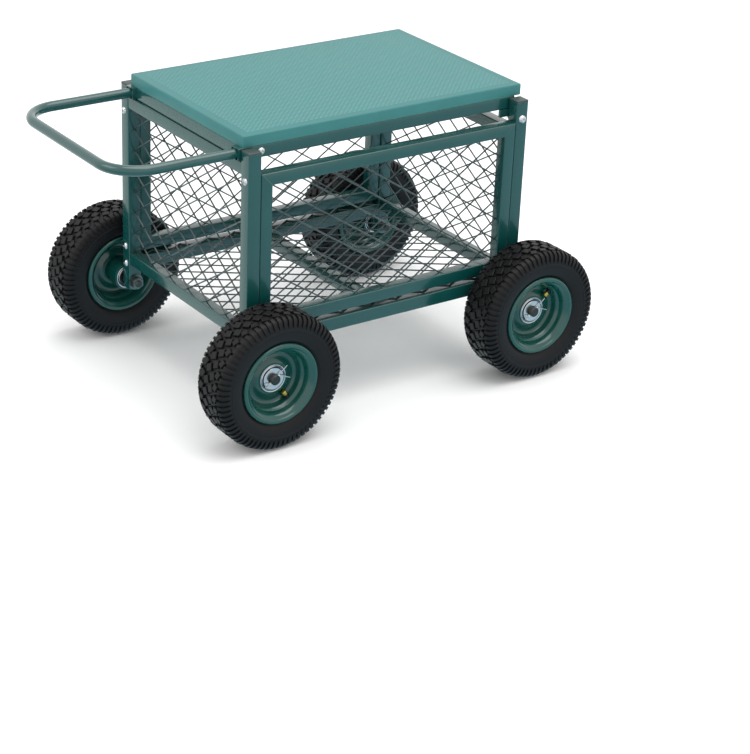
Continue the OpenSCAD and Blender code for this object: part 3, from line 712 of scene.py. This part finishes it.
# %% Lid rails and crossbars
for side in ("left", "right"):
    low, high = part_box(f"lid_{side}_rail")
    add_piece(square_bar(low, high, wall=WALL), f"lid_{side}_tube", LID, frame_paint,
              [f"lid_{side}_rail"])
ladder = bmesh.new()
for low, high in loose_parts("lid_crossbars"):
    merge(ladder, square_bar(low, high))
add_piece(ladder, "lid_ladder_bars", LID, frame_paint, ["lid_crossbars"])

# %% Folded seat panel
seat = block(seat_low, seat_high)
folds = [e for e in seat.edges if any(v.co.z > seat_low.z + 1e-5 for v in e.verts)]
round_edges(seat, folds, 2.4 * MM, 5)
bottom = [f for f in seat.faces if f.normal.z < -0.9]
bmesh.ops.delete(seat, geom=bottom, context="FACES")
bmesh.ops.solidify(seat, geom=seat.faces[:], thickness=1.2 * MM)
add_piece(seat, "folded_seat", LID, seat_paint, ["lid_panel"])

# %% [markdown]
# ## Handle
# One steel tube, bent twice, pulls the cart. It is drawn the way a bender would make it: a ring of points leaves
# the left rail, runs straight, spins round the first bend, crosses over, spins round the second and runs back.

# %% Handle tube
low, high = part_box("handle")
tube_r = (high.z - low.z) / 2
bend_r = 58 * MM
leg_y = high.y - tube_r
cross_x = low.x + tube_r
leg = high.x - cross_x - bend_r
level = (low.z + high.z) / 2
handle_tube = bent_tube((high.x, -leg_y, level), (-1, 0, 0), (0, 0, -1), tube_r,
                        [leg, (bend_r, math.pi / 2), 2 * (leg_y - bend_r), (bend_r, math.pi / 2), leg],
                        around=32, steps=18, capped=False)
add_piece(handle_tube, "bent_handle", LID, frame_paint, ["handle"])

# %% [markdown]
# ## Wheels
# A wheel is built once about the Y axis with its outer face towards -Y, then copied to each corner. It has a
# turned carcass with chunky tread blocks, two pressed and painted dish halves, a hub tube, two ball bearings and a
# rubber valve. The right-hand wheels are turned half round rather than mirrored, so no face is turned inside out.

# %% Tyre carcass: bead, sidewall with a raised line, shoulder and tread base
half_side = [(53.0, 16.0), (53.4, 20.0), (54.6, 23.6), (57.4, 27.2), (61.0, 28.6), (64.0, 29.2), (66.4, 29.8),
             (68.2, 31.6), (70.0, 33.0), (73.0, 34.2), (78.0, 35.6), (83.0, 36.3), (86.6, 36.5), (87.2, 37.0),
             (88.2, 37.1), (88.8, 36.6), (92.4, 36.3), (94.2, 35.7), (95.2, 34.7), (99.0, 34.0), (102.6, 32.2),
             (104.8, 29.2), (105.6, 25.0), (105.8, 12.0)]
carcass_profile = half_side + [(r, -o) for r, o in reversed(half_side)]


def ring_of(bm, count):
    """Repeats everything in a bmesh evenly about the Y axis."""
    bmesh.ops.spin(bm, geom=bm.verts[:] + bm.edges[:] + bm.faces[:], cent=(0, 0, 0), axis=(0, 1, 0),
                   angle=2 * math.pi * (count - 1) / count, steps=count - 1, use_duplicate=True)
    return bm


print("carcass profile:", len(carcass_profile), "points")

# %% Shoulder lugs: a short section swept a few degrees, then repeated


def shoulder_lug(sign):
    outline = [(91.6, 36.9), (93.0, 37.3), (98.0, 36.6), (102.8, 34.9), (106.0, 32.2), (107.9, 28.6), (108.6, 25.2),
               (105.0, 25.2), (104.0, 29.0), (101.6, 31.8), (98.6, 33.2), (91.6, 35.2)]
    bm = bmesh.new()
    verts = [bm.verts.new((r * MM, -o * sign * MM, 0.0)) for r, o in outline]
    bm.faces.new(verts)
    bmesh.ops.spin(bm, geom=bm.verts[:] + bm.edges[:] + bm.faces[:], cent=(0, 0, 0), axis=(0, 1, 0),
                   angle=math.radians(2.7), steps=1, use_merge=False)
    bmesh.ops.recalc_face_normals(bm, faces=bm.faces[:])
    return bm


# %% Tread blocks: slanted bevelled blocks in four staggered rows


def tread_block(offset, width, length, slant, phase):
    bm = bmesh.new()
    bmesh.ops.create_cube(bm, size=1.0)
    bmesh.ops.scale(bm, vec=(5.0 * MM, width * MM, length * MM), verts=bm.verts[:])
    top = [e for e in bm.edges if all(v.co.x > 0 for v in e.verts)]
    round_edges(bm, top, 0.7 * MM, 1)
    bmesh.ops.transform(bm, verts=bm.verts[:], matrix=Matrix.Rotation(math.radians(phase), 4, "Y") @
                        Matrix.Translation((107.2 * MM, -offset * MM, 0)) @
                        Matrix.Rotation(math.radians(slant), 4, "X"))
    return bm


LUGS, BLOCKS = 72, 36


def tread():
    bm = bmesh.new()
    for sign in (1, -1):
        merge(bm, ring_of(shoulder_lug(sign), LUGS))
    for offset, width, length, slant, phase in ((6.6, 11.0, 11.5, 24, 0.0), (-6.6, 11.0, 11.5, 24, 5.0),
                                                (18.6, 9.5, 10.5, -24, 3.0), (-18.6, 9.5, 10.5, -24, 8.0)):
        merge(bm, ring_of(tread_block(offset, width, length, slant, phase), BLOCKS))
    return bm


print("tread:", 2 * LUGS, "shoulder lugs and", 4 * BLOCKS, "blocks")


# %% Pressed dish halves: hub collar, two steps, flat disc, barrel, seat and rolled flange


def arc(centre, radius, start, stop, count):
    """Points of a corner, for a profile. Angles in degrees."""
    turns = [math.radians(start + (stop - start) * k / count) for k in range(count + 1)]
    return [(centre[0] + radius * math.cos(t), centre[1] + radius * math.sin(t)) for t in turns]


def circle(centre, radius, count):
    """Points of a full ring section, for a closed profile."""
    turns = [math.radians(360 / count * k) for k in range(count)]
    return [(centre[0] + radius * math.cos(t), centre[1] + radius * math.sin(t)) for t in turns]


def dish(face):
    profile = ([(23.0, 7.0), (25.4, 6.8), (28.0, 5.7), (31.0, 3.6), (34.0, 1.8), (36.4, 1.1)] +
               arc((38.8, 8.0), 7.0, -90, 0, 8) +
               [(45.8, 12.6), (46.5, 14.4), (49.4, 17.0), (50.5, 18.0), (50.8, 19.6), (51.3, 22.6), (52.4, 25.4),
                (54.0, 27.9), (56.0, 29.8), (58.2, 30.9)] + arc((61.4, 30.2), 3.2, 140, 0, 8))
    return turned([(r, face * o) for r, o in profile], steps=96)


# %% Hub tube with a weld ripple at each dish


def hub_tube():
    bm = turned([(20.1, 8.0), (20.6, 8.5), (22.6, 8.5), (23.0, 8.1), (23.0, -46.1), (22.6, -46.5), (20.6, -46.5),
                 (20.1, -46.0)], steps=64, closed=True)
    for weld_at in (8.0, -8.4):
        merge(bm, turned(circle((23.0, weld_at), 1.3, 8), steps=96, closed=True))
    return bm


# %% Ball bearing: flanged outer ring, rubber seal, inner ring


def bearing(face, outboard):
    """A bearing whose outer face is at `face`. The outboard one has a flange, the other looks inwards."""
    rim = 22.9 if outboard else 20.0
    metal = turned([(rim - 2.0, face - 2.4), (rim - 2.0, face + 0.5), (rim - 1.5, face + 0.8),
                    (rim - 0.7, face + 0.8), (rim, face + 0.2), (rim, face + 0.02), (20.0, face - 0.4),
                    (20.0, face - 11.0), (rim - 4.4, face - 11.0), (rim - 4.4, face - 0.4)],
                   steps=64, closed=True)
    merge(metal, turned([(8.06, face - 11.0), (8.06, face - 0.4), (8.5, face), (11.2, face), (11.6, face - 0.4),
                         (11.6, face - 11.0)], steps=64, closed=True))
    seal = turned([(11.5, face - 0.6), (12.6, face - 0.5), (13.2, face - 0.9), (16.6, face - 0.9),
                   (17.2, face - 1.4), (rim - 2.0, face - 1.4), (rim - 2.0, face - 2.4), (18.1, face - 10.0),
                   (11.5, face - 10.0)], steps=64, closed=True)
    turn = None if outboard else Matrix.Rotation(math.pi, 4, "X")
    return merge(merge(bmesh.new(), metal, turn, tint=0), seal, turn, tint=1)


def bearing_pair():
    return merge(bearing(8.5, True), bearing(46.5, False))


# %% Valve and inner tube


def valve_and_tube():
    bm = bmesh.new()
    merge(bm, turned(circle((74.9, 0.0), 19.0, 12), steps=48, closed=True), tint=0)
    stem = Matrix.Translation((0, -9 * MM, 0)) @ Matrix.Rotation(-math.pi / 2, 4, "Z")
    merge(bm, turned([(0.0, -54.0), (5.2, -54.0), (5.2, -46.5), (4.9, -45.4), (4.0, -44.0), (3.7, -40.0),
                      (3.3, -39.4), (0.0, -39.4)], steps=24), stem, tint=0)
    merge(bm, turned([(0.0, -40.0), (2.7, -40.0), (2.7, -37.4), (0.0, -37.4)], steps=20), stem, tint=1)
    cap = [(0.0, -38.4), (4.3, -38.4), (4.7, -38.0), (4.7, -33.6), (4.2, -32.2), (3.0, -31.4), (0.0, -31.2)]
    merge(bm, turned(cap, steps=18), stem, tint=1)
    return bm


# %% Lay the pieces of each wheel in its corner
VALVE_AT = {"front": -55.0, "rear": 40.0}
RIM_STEEL = 2.0 * MM


def lay(bm, place, name, body, material, node, sharp=40.0):
    return add_piece(merge(bmesh.new(), bm, place), name, body, material, [node], sharp)


for end, side in CORNERS:
    wheel = f"{end}_{side}"
    body = f"{wheel}_wheel"
    low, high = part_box(f"{wheel}_tyre")
    angle = math.radians(VALVE_AT[end])
    place = Matrix.Translation((low + high) / 2)
    if side == "left":
        place = place @ Matrix.Rotation(-angle, 4, "Y")
    else:
        place = place @ Matrix.Rotation(math.pi - angle, 4, "Y") @ Matrix.Rotation(math.pi, 4, "Z")
    lay(merge(turned(carcass_profile, steps=96), tread()), place, f"{wheel}_block_tread", body, rubber,
        f"{wheel}_tyre", sharp=32)
    for face, label in ((1, "outer"), (-1, "inner")):
        shell = lay(dish(face), place, f"{wheel}_{label}_dish", body, rim_paint,
                    f"{wheel}_rim_{label}", sharp=50)
        wall = shell.modifiers.new("sheet", "SOLIDIFY")
        wall.thickness, wall.offset, wall.use_even_offset = RIM_STEEL, 0.0, True
    lay(hub_tube(), place, f"{wheel}_hub_tube", body, rim_paint, f"{wheel}_hub")
    lay(bearing_pair(), place, f"{wheel}_ball_bearings", body, (race_steel, seal_rubber),
        f"{wheel}_bearings")
    lay(valve_and_tube(), place, f"{wheel}_valve", body, (rubber, brass), f"{wheel}_inner_tube")

# %% [markdown]
# ## Axles, washers, cotter pins and axle nuts
# A stub axle is turned from round bar: a chamfered end, a collar against the upright and a threaded tail with a
# nut. The cotter pin is a split wire, so its two legs leave the hole together, part, and spring apart.

# %% Stub axles


def at_corner(end, side):
    low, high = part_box(f"{end}_{side}_tyre")
    place = Matrix.Translation((low + high) / 2)
    return place if side == "left" else place @ Matrix.Rotation(math.pi, 4, "Z")


axle_profile = [(0.0, 18.6), (6.8, 18.6), (8.0, 17.4), (8.0, -46.6), (12.4, -47.0), (13.0, -47.6), (13.0, -50.0),
                (6.0, -50.0)]
THREADS, PITCH = 7, 1.5
for k in range(THREADS):
    axle_profile += [(6.0, -73.0 - PITCH * k), (5.3, -73.75 - PITCH * k)]
axle_profile += [(6.0, -83.8), (5.2, -85.0), (0.0, -85.0)]
shafts = bmesh.new()
for end, side in CORNERS:
    merge(shafts, turned(axle_profile, steps=40), at_corner(end, side))
add_piece(shafts, "turned_stub_axles", CHASSIS, axle_steel, ["stub_axles"], sharp=30)

# %% Washers and axle nuts
rings = bmesh.new()
axle_nuts = bmesh.new()
for end, side in CORNERS:
    place = at_corner(end, side)
    merge(rings, turned([(8.2, 9.0), (17.2, 9.0), (17.5, 9.3), (17.5, 10.7), (17.2, 11.0), (8.6, 11.0),
                         (8.2, 10.6)], steps=64, closed=True), place)
    merge(rings, turned([(6.2, -74.0), (13.0, -74.0), (13.0, -72.2), (6.2, -72.0)], steps=48, closed=True),
          place, tint=1)
    merge(axle_nuts, hex_nut(18.0, 8.0), place @ Matrix.Translation((0, 74 * MM, 0)) @ FACING["+Y"])
add_piece(rings, "pressed_washers", CHASSIS, (zinc, aged_zinc), ["axle_washers"], sharp=30)
add_piece(axle_nuts, "axle_hex_nuts", CHASSIS, aged_zinc, ["axle_nuts"], sharp=30)

# %% Cotter pins: an eye, a double shank through the axle and two sprung legs
split_pins = bmesh.new()
PIN_OUT, LEG_R, EYE_R = 13.6 * MM, 0.85 * MM, 0.72 * MM
lean = math.radians(35)
along, up = Vector((math.cos(lean), 0, math.sin(lean))), Vector((0, 1, 0))
aside = up.cross(along)
for end, side in CORNERS:
    low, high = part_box(f"{end}_{side}_tyre")
    outward = -1 if side == "left" else 1
    eye_end = (low + high) / 2 + Vector((0, outward * PIN_OUT, 0)) - along * 10.5 * MM
    for sign, spring, free in ((1, 1.02, 18.0), (-1, 0.10, 20.0)):
        runs = [18.6 * MM, (4.0 * MM, spring * sign), free * MM]
        merge(split_pins, bent_tube(eye_end + aside * sign * LEG_R, along, up, LEG_R, runs, around=10, steps=10))
    merge(split_pins, bent_tube(eye_end + aside * EYE_R, -along, up, EYE_R,
                                [(2.2 * MM, -0.9), (3.4 * MM, math.pi + 1.9), (2.2 * MM, -0.9)],
                                around=10, steps=10))
add_piece(split_pins, "split_cotter_pins", CHASSIS, zinc, ["cotter_pins"])

# %% [markdown]
# ## Pieces kept from the frame
# A few solids already have the right shape: the hinge lugs, the plain sheet under the seat and the nuts inside
# the tubes. They stay as they are and only get a finish.

# %% Finish the kept nodes
for node, material in (("hinge_lugs", frame_paint), ("lid_liner", liner_paint), ("frame_nuts", zinc)):
    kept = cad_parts[node]
    kept.data.materials.clear()
    kept.data.materials.append(material)
    print("kept", node)
